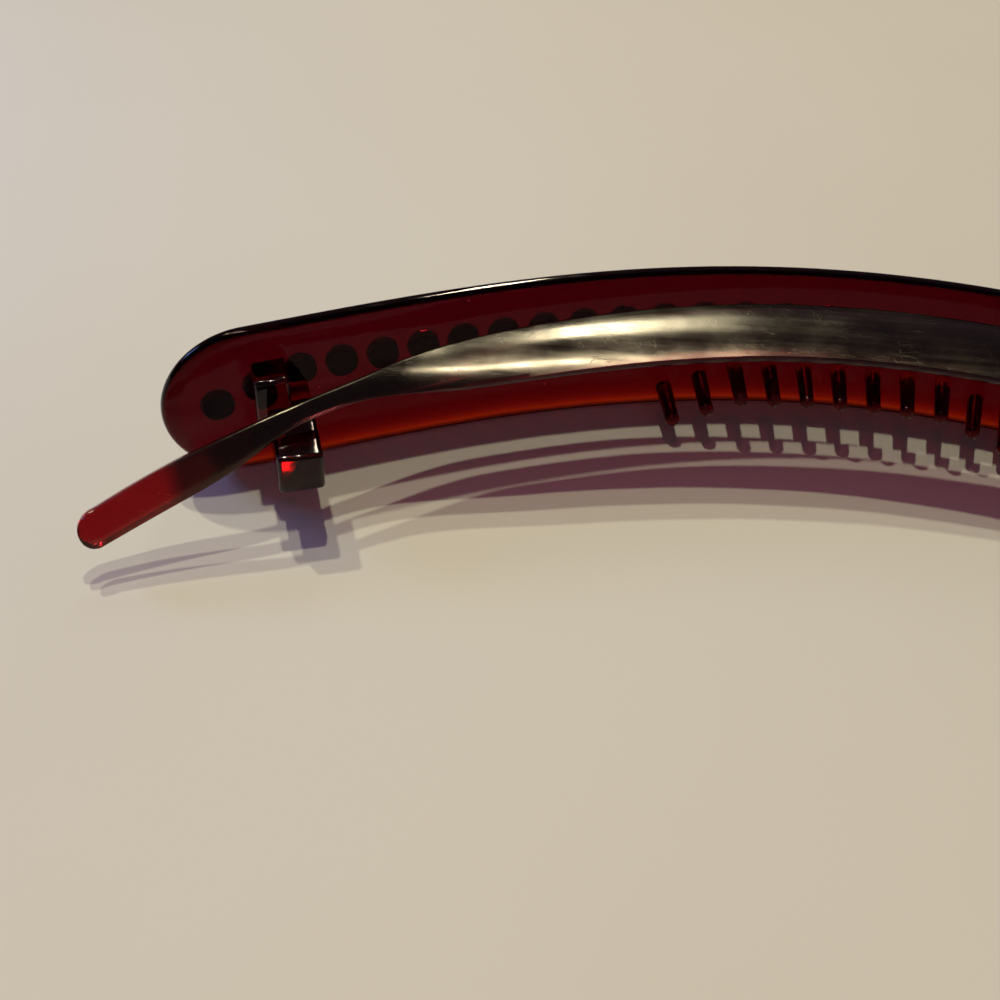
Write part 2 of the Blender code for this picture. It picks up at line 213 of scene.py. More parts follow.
def seated(tree, source, instance, turn=None):
    """The instance on each point of source, its +Z along the point's aim, made real."""
    aim = add_node(tree, "GeometryNodeInputNamedAttribute", {"Name": "aim"}, data_type="FLOAT_VECTOR")
    facing = add_node(
        tree, "FunctionNodeAlignRotationToVector", {"Vector": aim.outputs["Attribute"]}, axis="Z"
    )
    put = add_node(
        tree,
        "GeometryNodeInstanceOnPoints",
        {"Points": source, "Instance": instance, "Rotation": facing.outputs[0]},
    )
    placed = put.outputs[0]
    if turn is not None:
        spin = add_node(tree, "ShaderNodeCombineXYZ", {"Z": turn})
        turned = add_node(
            tree, "GeometryNodeRotateInstances", {"Instances": placed, "Rotation": spin.outputs[0]}
        )
        placed = turned.outputs[0]
    return add_node(tree, "GeometryNodeRealizeInstances", {"Geometry": placed}).outputs[0]


def aimed_points(name, points, aims):
    """A mesh of loose points that carry the directions in which pieces are set on them."""
    mesh = bpy.data.meshes.new(name)
    mesh.from_pydata([tuple(p) for p in points], [], [])
    aim = mesh.attributes.new("aim", "FLOAT_VECTOR", "POINT")
    aim.data.foreach_set("vector", np.asarray(aims, np.float32).ravel())
    return mesh


def grown(name, base, tree, values):
    """The plain mesh that the tree makes from base."""
    host = linked(name, base)
    modifier = host.modifiers.new("grow", "NODES")
    modifier.node_group = tree
    for item in tree.interface.items_tree:
        if item.in_out == "INPUT" and item.name in values:
            modifier[item.identifier] = values[item.name]
    return plain_mesh(host)


def comb_tree():
    """A tapered peg with a domed tip, swept along a short line and set on each root point."""
    tree, given, out = new_tree(
        "comb_row",
        [
            ("Length", "Float"),
            ("Sink", "Float"),
            ("Root Radius", "Float"),
            ("Tip Radius", "Float"),
            ("Sides", "Int"),
            ("Rings", "Int"),
            ("Material", "Material"),
        ],
    )
    start = add_node(
        tree, "ShaderNodeCombineXYZ", {"Z": math_node(tree, "MULTIPLY", given.outputs["Sink"], -1.0)}
    )
    end = add_node(tree, "ShaderNodeCombineXYZ", {"Z": given.outputs["Length"]})
    line = add_node(
        tree, "GeometryNodeCurvePrimitiveLine", {"Start": start.outputs[0], "End": end.outputs[0]}
    )
    fine = add_node(
        tree, "GeometryNodeResampleCurve", {"Curve": line.outputs[0], "Count": given.outputs["Rings"]}
    )
    whole = math_node(tree, "ADD", given.outputs["Length"], given.outputs["Sink"])
    along = math_node(tree, "MULTIPLY", add_node(tree, "GeometryNodeSplineParameter").outputs[0], whole)
    left = math_node(tree, "SUBTRACT", whole, along)
    taper = add_node(
        tree,
        "ShaderNodeMapRange",
        {
            "Value": along,
            "From Min": 0.0,
            "From Max": whole,
            "To Min": given.outputs["Root Radius"],
            "To Max": given.outputs["Tip Radius"],
        },
    ).outputs[0]
    short = math_node(tree, "SUBTRACT", given.outputs["Tip Radius"], left)
    short = math_node(tree, "MAXIMUM", short, 0.0)
    share = math_node(tree, "DIVIDE", short, given.outputs["Tip Radius"])
    dome = math_node(tree, "SUBTRACT", 1.0, math_node(tree, "POWER", share, 2.0))
    dome = math_node(tree, "SQRT", math_node(tree, "MAXIMUM", dome, TIP_FLAT))
    radius = math_node(tree, "MULTIPLY", taper, dome)
    profile = add_node(
        tree, "GeometryNodeCurvePrimitiveCircle", {"Resolution": given.outputs["Sides"], "Radius": 1.0}
    )
    peg = add_node(
        tree,
        "GeometryNodeCurveToMesh",
        {
            "Curve": fine.outputs[0],
            "Profile Curve": profile.outputs[0],
            "Scale": radius,
            "Fill Caps": True,
        },
    )
    real = seated(tree, given.outputs["Geometry"], peg.outputs[0])
    done = add_node(
        tree, "GeometryNodeSetMaterial", {"Geometry": real, "Material": given.outputs["Material"]}
    )
    tree.links.new(done.outputs[0], out.inputs[0])
    return tree


def comb_mesh(material):
    index = np.arange(TOOTH_COUNT)
    from_end = np.minimum(index, TOOTH_COUNT - 1 - index)
    height = TOOTH_ROW_HEIGHT - TOOTH_STEP_DOWN * np.maximum(0, TOOTH_STEPPED_EACH_END - from_end)
    s = (index - (TOOTH_COUNT - 1) / 2) * TOOTH_PITCH
    roots = place(s, np.full(TOOTH_COUNT, PLATE_THICKNESS), height)
    _, inward = arch(s)
    aims = np.concatenate([inward, np.zeros((TOOTH_COUNT, 1))], axis=1)
    sizes = {
        "Length": TOOTH_LENGTH,
        "Sink": TOOTH_SINK,
        "Root Radius": TOOTH_ROOT_RADIUS,
        "Tip Radius": TOOTH_TIP_RADIUS,
        "Sides": TOOTH_SIDES,
        "Rings": TOOTH_RINGS,
        "Material": material,
    }
    return grown("comb_row", aimed_points("comb_roots", roots, aims), comb_tree(), sizes)


# The catch near the -X end holds the neck of the sprung tongue: a short, tall prong behind it and a
# long one under it. They are moulded with the plate and lean towards the crown, for the mould.

PRONG_LEAN = math.radians(18.5)
PRONG_BEVEL = 0.34 * MM
PRONG_BEVEL_STEPS = 5
PRONG_SINK = PLATE_THICKNESS * 0.55
# name, place along the arch, width, length in front of the hollow face, lower and upper side
PRONGS = (
    ("upper_prong", -42.5 * MM, 2.4 * MM, 2.4 * MM, 5.0 * MM, 9.4 * MM),
    ("lower_prong", -41.4 * MM, 3.1 * MM, 7.75 * MM, 3.95 * MM, 7.05 * MM),
)


def prong_mesh(name, s, width, length, bottom, top):
    root = Vector(place(s, PLATE_THICKNESS, (bottom + top) / 2))
    along = Vector((math.sin(PRONG_LEAN), -math.cos(PRONG_LEAN), 0))
    across = Vector((math.cos(PRONG_LEAN), math.sin(PRONG_LEAN), 0))
    turn = Matrix((across, -along, Vector((0, 0, 1)))).transposed().to_4x4()
    center = root + along * (length - PRONG_SINK) / 2
    scale = Matrix.Diagonal((width, length + PRONG_SINK, top - bottom, 1))
    bm = bmesh.new()
    bmesh.ops.create_cube(bm, size=1.0, matrix=Matrix.Translation(center) @ turn @ scale)
    bmesh.ops.bevel(
        bm,
        geom=bm.edges,
        offset=PRONG_BEVEL,
        segments=PRONG_BEVEL_STEPS,
        affect="EDGES",
        profile=0.5,
    )
    return mesh_from(name, bm)


# Two lugs near the +X end carry the hinge pin. Each is a straight-sided root in the plate that ends
# in a half-round about the pin.

HINGE_ALONG = 43.6 * MM
HINGE_STANDOFF = 2.15 * MM
KNUCKLE_RADIUS = 1.6 * MM
KNUCKLE_BOTTOM = 4.9 * MM
KNUCKLE_TOP = 10.1 * MM
PIN_RADIUS = 0.6 * MM
RUNNING_GAP = 0.3 * MM
LUG_THICKNESS = 1.4 * MM
LUG_SINK = 0.5 * MM
LUG_BEVEL = 0.12 * MM
LUG_BEVEL_STEPS = 3
ROUND_SIDES = 64
HINGE_POINT = Vector(place(HINGE_ALONG, PLATE_THICKNESS + HINGE_STANDOFF, 0.0))
LUG_BANDS = (
    (KNUCKLE_BOTTOM - RUNNING_GAP - LUG_THICKNESS, KNUCKLE_BOTTOM - RUNNING_GAP),
    (KNUCKLE_TOP + RUNNING_GAP, KNUCKLE_TOP + RUNNING_GAP + LUG_THICKNESS),
)


def lug_mesh(name, bottom, top):
    inward = Vector((*arch(HINGE_ALONG)[1], 0))
    side = Vector((-inward.y, inward.x, 0))
    root = Vector(place(HINGE_ALONG, LUG_SINK, 0.0))
    outline = [root - side * KNUCKLE_RADIUS]
    for a in np.linspace(0, math.pi, ROUND_SIDES // 2 + 1):
        outline.append(HINGE_POINT + KNUCKLE_RADIUS * (inward * math.sin(a) - side * math.cos(a)))
    outline.append(root + side * KNUCKLE_RADIUS)
    bm = bmesh.new()
    face = bm.faces.new([bm.verts.new((p.x, p.y, bottom)) for p in outline])
    raised = bmesh.ops.extrude_face_region(bm, geom=[face])["geom"]
    moved = [v for v in raised if isinstance(v, bmesh.types.BMVert)]
    bmesh.ops.translate(bm, vec=(0, 0, top - bottom), verts=moved)
    rims = [e for e in bm.edges if e.verts[0].co.z == e.verts[1].co.z]
    bmesh.ops.bevel(
        bm, geom=rims, offset=LUG_BEVEL, segments=LUG_BEVEL_STEPS, affect="EDGES", profile=0.5
    )
    return mesh_from(name, bm)


def upright_cylinder(name, radius, bottom, top):
    bm = bmesh.new()
    bmesh.ops.create_cone(
        bm,
        cap_ends=True,
        segments=ROUND_SIDES,
        radius1=radius,
        radius2=radius,
        depth=top - bottom,
        matrix=Matrix.Translation((HINGE_POINT.x, HINGE_POINT.y, (bottom + top) / 2)),
    )
    return mesh_from(name, bm)


def carved(name, mesh, changes):
    """mesh with each (operation, other mesh) done by an exact Boolean, as one plain mesh."""
    obj = linked(name, mesh)
    others = []
    for operation, other in changes:
        helper = linked(other.name, other)
        helper.hide_render = True
        others.append(helper)
        modifier = obj.modifiers.new(f"{operation.lower()} {other.name}", "BOOLEAN")
        modifier.operation = operation
        modifier.solver = "EXACT"
        modifier.object = helper
    result = plain_mesh(obj)
    for helper in others:
        bpy.data.objects.remove(helper, do_unlink=True)
    return result


def finished(name, mesh, material, body, slot, *nodes):
    """The piece as it is shown, riding on its body in place of the CAD nodes."""
    mesh.materials.clear()
    mesh.materials.append(material)
    mesh.name = name
    mesh.shade_smooth()
    mesh.set_sharp_from_angle(angle=SHARP_ANGLE)
    piece = linked(name, mesh)
    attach(piece, body)
    if nodes:
        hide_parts(*nodes)
    return piece


# Finish of the plate: clear plastic whose colour is painted by height: a dark line of painted shade
# where the lower edge meets the table, above it a painted orange-red glow of light coming through,
# and a dark wine red from about 2 mm up. It has hairline scratches, dust whose specks glow with a
# painted glint, and flow marks.

PLASTIC_IOR = 1.49
ABSORPTION_COLOR = (0.85, 0.10, 0.08, 1.0)
FITTING_POLISH_ROUGHNESS = 0.06
# colour of the glow that the dust specks give off: a painted glint
DUST_GLINT = (0.30, 0.25, 0.23)
# How much darker the plastic is made, for thicker plastic and as painted shade where little light
# gets through: 0 on the plain sheet, 1 on pegs, prongs and lugs
DEPTH_AND_SHADE_NAME = "thick"
# how far the rim goes to the darker colour, which there is painted shade
RIM_SHADE = 0.9
POLISHED_FROM = 0.92
POLISH_RISE = 12.5
# turn about Y, squeeze along X, noise scale: three lots of scratches that cross each other
HAIRLINE_LOTS = ((0.0, 0.06, 2600.0), (0.35, 0.10, 1900.0), (-0.8, 0.14, 1500.0))
HAIRLINE_WIDTH = 0.011
HAIRLINE_PATCH_SCALE = 420.0
HAIRLINE_PATCH_RANGE = (0.52, 0.64)
SPECK_SCALE = 900.0
SPECK_SIZE = 0.10
SPECK_EDGE = 2.5
TINT_SWAY = 0.02
# what streaks, scratches and dust add to the roughness, and how deep scratches cut the flow marks
STREAK_MATTNESS = 0.16
SCRATCH_MATTNESS = 0.12
SPECK_MATTNESS = 0.4
SCRATCH_CUT = 0.06
FLOW_HEIGHT = 0.0001


def new_group(name, inputs, outputs):
    group = bpy.data.node_groups.new(name, "ShaderNodeTree")
    for label, kind, value in inputs:
        socket = group.interface.new_socket(label, in_out="INPUT", socket_type="NodeSocket" + kind)
        if value is not None:
            socket.default_value = value
    for label, kind in outputs:
        group.interface.new_socket(label, in_out="OUTPUT", socket_type="NodeSocket" + kind)
    return group, group.nodes.new("NodeGroupInput"), group.nodes.new("NodeGroupOutput")


def noise_node(tree, vector, scale, detail, roughness=0.5):
    values = {"Vector": vector, "Scale": scale, "Detail": detail, "Roughness": roughness}
    return add_node(tree, "ShaderNodeTexNoise", values).outputs[0]


def ranged(tree, value, from_min, from_max, to_min, to_max):
    values = {"Value": value, "From Min": from_min, "From Max": from_max}
    values.update({"To Min": to_min, "To Max": to_max})
    return add_node(tree, "ShaderNodeMapRange", values).outputs[0]


def hairlines_group():
    """Fine scratches: thin ridges of a noise that is stretched along X, broken up by a second one."""
    group, given, out = new_group(
        "hairline_scratches",
        [("Vector", "Vector", None), ("Width", "Float", HAIRLINE_WIDTH)],
        [("Mask", "Float")],
    )
    total = None
    for turn, squeeze, scale in HAIRLINE_LOTS:
        turned = add_node(
            group,
            "ShaderNodeMapping",
            {"Vector": given.outputs["Vector"], "Rotation": (0.0, turn, 0.0)},
        ).outputs[0]
        flat = add_node(
            group,
            "ShaderNodeMapping",
            {"Vector": turned, "Scale": (squeeze, 1.0, 1.0), "Location": (turn, turn, turn)},
        ).outputs[0]
        noise = noise_node(group, flat, scale, 1.0, 0.4)
        off = math_node(group, "ABSOLUTE", math_node(group, "SUBTRACT", noise, 0.5))
        share = math_node(group, "DIVIDE", off, given.outputs["Width"])
        line = math_node(group, "SUBTRACT", 1.0, share, clamp=True)
        patch = noise_node(group, turned, HAIRLINE_PATCH_SCALE, 2.0)
        some = ranged(group, patch, *HAIRLINE_PATCH_RANGE, 0.0, 1.0)
        line = math_node(group, "MULTIPLY", line, some)
        total = line if total is None else math_node(group, "MAXIMUM", total, line)
    group.links.new(total, out.inputs[0])
    return group


def specks_group():
    """Dust: small round specks in a few cells of a Voronoi pattern, each with its own size."""
    group, given, out = new_group(
        "dust_specks",
        [
            ("Vector", "Vector", None),
            ("Scale", "Float", SPECK_SCALE),
            ("Share", "Float", 0.1),
            ("Size", "Float", SPECK_SIZE),
        ],
        [("Mask", "Float")],
    )
    cells = add_node(
        group, "ShaderNodeTexVoronoi", {"Vector": given.outputs["Vector"], "Scale": given.outputs["Scale"]}
    )
    parts = add_node(group, "ShaderNodeSeparateColor", {"Color": cells.outputs["Color"]})
    chosen = math_node(group, "LESS_THAN", parts.outputs[0], given.outputs["Share"])
    swell = math_node(group, "ADD", 0.4, parts.outputs[1])
    size = math_node(group, "MULTIPLY", given.outputs["Size"], swell)
    near = math_node(group, "SUBTRACT", 1.0, math_node(group, "DIVIDE", cells.outputs["Distance"], size))
    near = math_node(group, "MULTIPLY", near, SPECK_EDGE, clamp=True)
    group.links.new(math_node(group, "MULTIPLY", near, chosen), out.inputs[0])
    return group


HAIRLINES = hairlines_group()
SPECKS = specks_group()


def ramp(tree, fac, stops):
    made = add_node(tree, "ShaderNodeValToRGB", {"Fac": fac})
    made.color_ramp.interpolation = "B_SPLINE"
    elements = made.color_ramp.elements
    for position, color in stops[2:]:
        elements.new(position)
    for element, (position, color) in zip(sorted(elements, key=lambda e: e.position), sorted(stops)):
        element.position = position
        element.color = (*color, 1.0)
    return made.outputs["Color"]


def blended(tree, factor, first, second):
    """A colour between first and second, each a plain colour or the socket of one."""
    made = add_node(tree, "ShaderNodeMix", {"Factor": factor}, data_type="RGBA")
    sockets = [i for i in made.inputs if i.type == "RGBA"]
    for socket, color in zip(sockets, (first, second)):
        if isinstance(color, bpy.types.NodeSocket):
            tree.links.new(color, socket)
        else:
            socket.default_value = (*color, 1.0)
    return next(o for o in made.outputs if o.type == "RGBA")


def new_material(name):
    """A material with its node tree, its Principled shader and the object's own coordinates."""
    material = bpy.data.materials.new(name)
    material.use_nodes = True
    tree = material.node_tree
    spot = add_node(tree, "ShaderNodeTexCoord").outputs["Object"]
    return material, tree, tree.nodes["Principled BSDF"], spot


def scaled(tree, value, factor):
    return math_node(tree, "MULTIPLY", value, factor)


def dent(tree, shader, height, strength, distance):
    made = add_node(
        tree, "ShaderNodeBump", {"Height": height, "Strength": strength, "Distance": distance}
    )
    tree.links.new(made.outputs[0], shader.inputs["Normal"])


def set_plain(shader, values):
    for label, value in values.items():
        shader.inputs[label].default_value = value


def ruby_plastic(name, stops, deep_and_shade, haze, bump, density, shadow, speck_share, shine, coat):
    """Clear red plastic. stops give its colour over the height above the table, from 0 to 12 mm, painted
    glow and shade included, and a second colour gives the darker one that it takes where the piece's
    own attribute marks it, for thicker plastic and as painted shade. haze is the range of its
    roughness, shadow the colour of the light that it lets through and shine that of its gloss."""
    material, tree, shader, spot = new_material(name)
    axes = add_node(tree, "ShaderNodeSeparateXYZ", {"Vector": spot})
    cloud = noise_node(tree, spot, 170.0, 3.0)
    sway = scaled(tree, math_node(tree, "SUBTRACT", cloud, 0.5), TINT_SWAY)
    height = math_node(tree, "ADD", math_node(tree, "DIVIDE", axes.outputs["Z"], PLATE_WIDTH), sway)
    # the colour by height, with its painted glow and shade, goes darker where the attribute marks it: for
    # thicker plastic, and as painted shade
    thick = add_node(tree, "ShaderNodeAttribute", attribute_name=DEPTH_AND_SHADE_NAME)
    tint = blended(tree, thick.outputs["Fac"], ramp(tree, height, stops), deep_and_shade)
    tree.links.new(tint, shader.inputs["Base Color"])

    lines = add_node(tree, "ShaderNodeGroup", {}, node_tree=HAIRLINES)
    tree.links.new(spot, lines.inputs["Vector"])
    specks = add_node(tree, "ShaderNodeGroup", {}, node_tree=SPECKS)
    tree.links.new(spot, specks.inputs["Vector"])
    specks.inputs["Share"].default_value = speck_share

    # smears and fine streaks along the piece, and matt scratches and dust
    rough = ranged(tree, noise_node(tree, spot, 260.0, 5.0, 0.6), 0.35, 0.7, *haze)
    drawn = add_node(tree, "ShaderNodeMapping", {"Vector": spot, "Scale": (0.04, 1.0, 1.0)})
    streaks = math_node(tree, "SUBTRACT", noise_node(tree, drawn.outputs[0], 2200.0, 3.0), 0.5)
    rough = math_node(tree, "ADD", rough, scaled(tree, streaks, STREAK_MATTNESS))
    rough = math_node(tree, "ADD", rough, scaled(tree, lines.outputs[0], SCRATCH_MATTNESS))
    dust = scaled(tree, specks.outputs[0], SPECK_MATTNESS)
    rough = math_node(tree, "ADD", rough, dust, clamp=True)
    tree.links.new(rough, shader.inputs["Roughness"])

    # flow marks of the mould, with the scratches cut into them
    flow = noise_node(tree, spot, 330.0, 2.0)
    relief = math_node(tree, "SUBTRACT", flow, scaled(tree, lines.outputs[0], SCRATCH_CUT))
    dent(tree, shader, relief, bump, FLOW_HEIGHT)

    # the dust specks glow with their colour in the emission, a painted glint that needs no lamp
    glint = blended(tree, specks.outputs[0], (0.0, 0.0, 0.0), DUST_GLINT)
    tree.links.new(glint, shader.inputs["Emission Color"])
    if coat:
        fitting = math_node(tree, "SUBTRACT", thick.outputs["Fac"], POLISHED_FROM)
        polish = math_node(tree, "MULTIPLY", fitting, POLISH_RISE, clamp=True)
        tree.links.new(scaled(tree, polish, coat), shader.inputs["Coat Weight"])
    set_plain(
        shader,
        {
            "Emission Strength": 1.0,
            "IOR": PLASTIC_IOR,
            "Specular Tint": (*shine, 1.0),
            "Coat Roughness": FITTING_POLISH_ROUGHNESS,
            "Transmission Weight": 1.0,
        },
    )
    absorb = add_node(
        tree, "ShaderNodeVolumeAbsorption", {"Color": ABSORPTION_COLOR, "Density": density}
    )
    out = tree.nodes["Material Output"]
    tree.links.new(absorb.outputs[0], out.inputs["Volume"])
    see = add_node(tree, "ShaderNodeBsdfTransparent", {"Color": (*shadow, 1.0)})
    path = add_node(tree, "ShaderNodeLightPath")
    both = add_node(
        tree,
        "ShaderNodeMixShader",
        {
            0: math_node(tree, "MAXIMUM", path.outputs["Is Shadow Ray"], path.outputs["Is Diffuse Ray"]),
            1: shader.outputs[0],
            2: see.outputs[0],
        },
    )
    tree.links.new(both.outputs[0], out.inputs["Surface"])
    return material


PLATE_PLASTIC = ruby_plastic(
    "ruby_plastic",
    # colour by height, painted: shade at the very edge, an orange-red glow of light peaking about 0.4 mm
    # up and gone by about 2 mm, then the dark wine red
    (
        (0.0, (0.012, 0.001, 0.002)),
        (1.0, (0.062, 0.001, 0.006)),
        (0.016, (0.014, 0.001, 0.002)),
        (0.030, (0.44, 0.040, 0.004)),
        (0.045, (0.36, 0.022, 0.004)),
        (0.09, (0.14, 0.0025, 0.003)),
        (0.18, (0.088, 0.0008, 0.003)),
        (0.36, (0.074, 0.001, 0.004)),
    ),
    # a darker colour for pegs, prongs and lugs, for the thicker plastic and partly painted shade, and for
    # the rim, where it is painted shade
    deep_and_shade=(0.042, 0.003, 0.003),
    haze=(0.03, 0.10),
    bump=0.10,
    density=350.0,
    shadow=(0.22, 0.06, 0.09),
    speck_share=0.02,
    shine=(0.16, 0.10, 0.12),
    coat=0.3,
)


SEARCH_SPAN = 60.0
SEARCH_STEPS = 1201
SEARCH_BATCH = 4000


def mark_depth_and_shade(mesh, share):
    """Writes the attribute that the plastic reads, by which it is made darker for thicker plastic and
    as painted shade: share is given each vertex's (s, depth, z) in mm.
    """
    points = np.empty(len(mesh.vertices) * 3)
    mesh.vertices.foreach_get("co", points)
    points = points.reshape(-1, 3)
    sampled = np.linspace(-SEARCH_SPAN, SEARCH_SPAN, SEARCH_STEPS)
    spots, inward = arch(sampled * MM)
    nearest = np.empty(len(points), int)
    for start in range(0, len(points), SEARCH_BATCH):
        batch = slice(start, start + SEARCH_BATCH)
        apart = points[batch, None, :2] - spots[None]
        nearest[batch] = (apart**2).sum(-1).argmin(1)
    depth = ((points[:, :2] - spots[nearest]) * inward[nearest]).sum(-1) / MM
    values = share(sampled[nearest], depth, points[:, 2] / MM)
    made = mesh.attributes.new(DEPTH_AND_SHADE_NAME, "FLOAT", "POINT")
    made.data.foreach_set("value", np.clip(values, 0, 1).astype(np.float32))


# depths in mm: where fittings begin over the hollow face, where the painted shade of the rim begins
# behind the outer face and where it ends, and over how much depth each of them sets in
FITTING_START = 0.02
FITTING_FADE = 0.35
RIM_START = 0.3
RIM_START_FADE = 0.15
RIM_END = 0.945
RIM_END_FADE = 0.012


def plate_depth_and_shade(s, depth, z):
    """1 on all that stands out of the hollow face, darker there for the thicker plastic and partly as
    painted shade, and nearly so round the rim and its bevel, where it is painted shade.
    """
    fittings = (depth - PLATE_THICKNESS / MM - FITTING_START) / FITTING_FADE
    rim = np.minimum((depth - RIM_START) / RIM_START_FADE, (RIM_END - depth) / RIM_END_FADE)
    return np.maximum(fittings, np.minimum(rim, RIM_SHADE))


BORE_RADIUS = PIN_RADIUS + RUNNING_GAP
BORE_OVERSHOOT = 1.0 * MM
plate_changes = [("UNION", comb_mesh(PLATE_PLASTIC))]
plate_changes += [("UNION", prong_mesh(*prong)) for prong in PRONGS]
plate_changes += [
    ("UNION", lug_mesh(name, *band)) for name, band in zip(("lower_lug", "upper_lug"), LUG_BANDS)
]
lug_bore = upright_cylinder(
    "lug_bore", BORE_RADIUS, LUG_BANDS[0][0] - BORE_OVERSHOOT, LUG_BANDS[1][1] + BORE_OVERSHOOT
)
plate_changes.append(("DIFFERENCE", lug_bore))
plate_mesh = carved("plate_work", plate_blank(), plate_changes)
mark_depth_and_shade(plate_mesh, plate_depth_and_shade)
finished("clip_plate", plate_mesh, PLATE_PLASTIC, "clip", "plate", "plate")


# The hinge pin is a drawn steel wire pressed into both lugs. It keeps its CAD shape and gets a
# bright, finely drawn surface.


def drawn_steel():
    material, tree, shader, spot = new_material("drawn_steel")
    drawn = add_node(tree, "ShaderNodeMapping", {"Vector": spot, "Scale": (1.0, 1.0, 0.04)})
    grain = noise_node(tree, drawn.outputs[0], 9000.0, 2.0)
    stain = noise_node(tree, spot, 900.0, 4.0)
    tint = ramp(tree, stain, ((0.35, (0.40, 0.38, 0.35)), (0.65, (0.62, 0.60, 0.57))))
    tree.links.new(tint, shader.inputs["Base Color"])
    tree.links.new(ranged(tree, grain, 0.0, 1.0, 0.18, 0.42), shader.inputs["Roughness"])
    dent(tree, shader, grain, 0.3, 0.00002)
    shader.inputs["Metallic"].default_value = 1.0
    return material


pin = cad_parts["hinge_pin"]
pin.data.materials.clear()
pin.data.materials.append(drawn_steel())


# The tongue is a sprung strip of the same plastic that lies across the hollow, its glossy crowned
# face turned up, and swings on the pin. Towards the catch it narrows to a neck over the long prong
# and twists upright into a finger tab with a round end.

TONGUE_STEP = 0.2
TONGUE_EASE = 1.3
TONGUE_EDGE = 0.30
EDGE_PER_WIDTH = 0.2
EDGE_PER_THICKNESS = 0.36
EDGE_STEPS = 6
FACE_STEPS = 16
CORNER_SOFTENING = 0.05
UNDERSIDE_POINT = 0.4
SIDE_BULGE = 0.05
SIDE_STEPS = (0.04, 0.2, 0.4, 0.6, 0.8, 0.96)
TONGUE_CROWN = 0.40
CROWN_PER_WIDTH = 0.07
FRONT_DRAFT = 0.34
TAB_END_LENGTH = 1.3
TAB_END_STEPS = 12
TAB_END_FLAT = 0.4
TAB_END_BOW = 0.35
TAB_END_THINNING = 0.6
# s, standoff of the face's middle from the hollow face, its height, the face's width, thickness, all
# in millimetres, and the lean of the face in degrees: 0 stands upright, 90 lies flat
TONGUE_ROWS = (
    (42.6, 2.72, 7.90, 3.80, 1.15, 0.0),
    (40.2, 2.75, 8.10, 3.90, 1.15, 5.0),
    (37.0, 3.00, 8.70, 4.30, 1.20, 28.0),
    (33.0, 3.60, 9.50, 4.80, 1.25, 55.0),
    (28.0, 4.20, 10.30, 5.20, 1.30, 75.0),
    (20.0, 4.60, 11.00, 5.50, 1.30, 84.0),
    (5.0, 4.78, 11.12, 5.57, 1.30, 86.0),
    (-7.0, 4.63, 10.93, 5.56, 1.30, 86.0),
    (-17.0, 4.33, 10.40, 5.35, 1.30, 85.0),
    (-26.0, 4.15, 9.82, 4.60, 1.25, 80.0),
    (-30.0, 3.96, 9.43, 4.00, 1.20, 77.0),
    (-33.7, 4.00, 9.19, 2.70, 1.10, 68.0),
    (-37.0, 4.26, 8.98, 1.50, 0.95, 52.0),
    (-40.0, 4.72, 8.71, 1.30, 0.80, 42.0),
    (-42.2, 5.22, 8.50, 1.35, 0.80, 36.0),
    (-43.4, 5.50, 8.28, 1.50, 0.80, 34.0),
    (-44.8, 5.80, 7.75, 1.95, 0.85, 32.0),
    (-47.0, 6.02, 6.85, 2.55, 1.00, 30.0),
    (-50.0, 6.20, 5.75, 2.75, 1.10, 30.0),
    (-53.3, 6.60, 4.60, 2.75, 1.10, 30.0),
    (-55.7, 7.00, 3.75, 2.65, 1.05, 30.0),
)


def tongue_rows():
    """The rows with others close between them, eased by a Gaussian along the strip."""
    table = np.array(TONGUE_ROWS)[::-1]
    s = np.arange(table[0, 0], table[-1, 0] + TONGUE_STEP / 2, TONGUE_STEP)
    reach = int(4 * TONGUE_EASE / TONGUE_STEP)
    weights = np.exp(-0.5 * (np.arange(-reach, reach + 1) * TONGUE_STEP / TONGUE_EASE) ** 2)
    weights /= weights.sum()
    columns = [s]
    for k in range(1, table.shape[1]):
        values = np.interp(s, table[:, 0], table[:, k])
        first = 2 * values[0] - values[1 : reach + 1][::-1]
        last = 2 * values[-1] - values[-reach - 1 : -1][::-1]
        columns.append(np.convolve(np.concatenate([first, values, last]), weights, "valid"))
    return np.stack(columns, axis=1)


def tab_end(row):
    """Rows that close the tab with a round end: the last row shrunk about its own middle."""
    s, standoff, height, width, thickness, lean = row
    rows = []
    for i in range(1, TAB_END_STEPS + 1):
        a = math.pi / 2 * i / (TAB_END_STEPS + TAB_END_FLAT)
        shrink = math.cos(a)
        lost = thickness * TAB_END_THINNING * (1 - shrink)
        rows.append(
            (
                s - TAB_END_LENGTH * math.sin(a),
                standoff + TAB_END_BOW * math.sin(a) - lost / 2,
                height,
                width * shrink,
                thickness - lost,
                lean,
            )
        )
    return np.array(rows)


def arc(center, radius, start, end, count):
    turn = np.linspace(start, end, count)
    return [(center[0] + radius * math.cos(a), center[1] + radius * math.sin(a)) for a in turn]


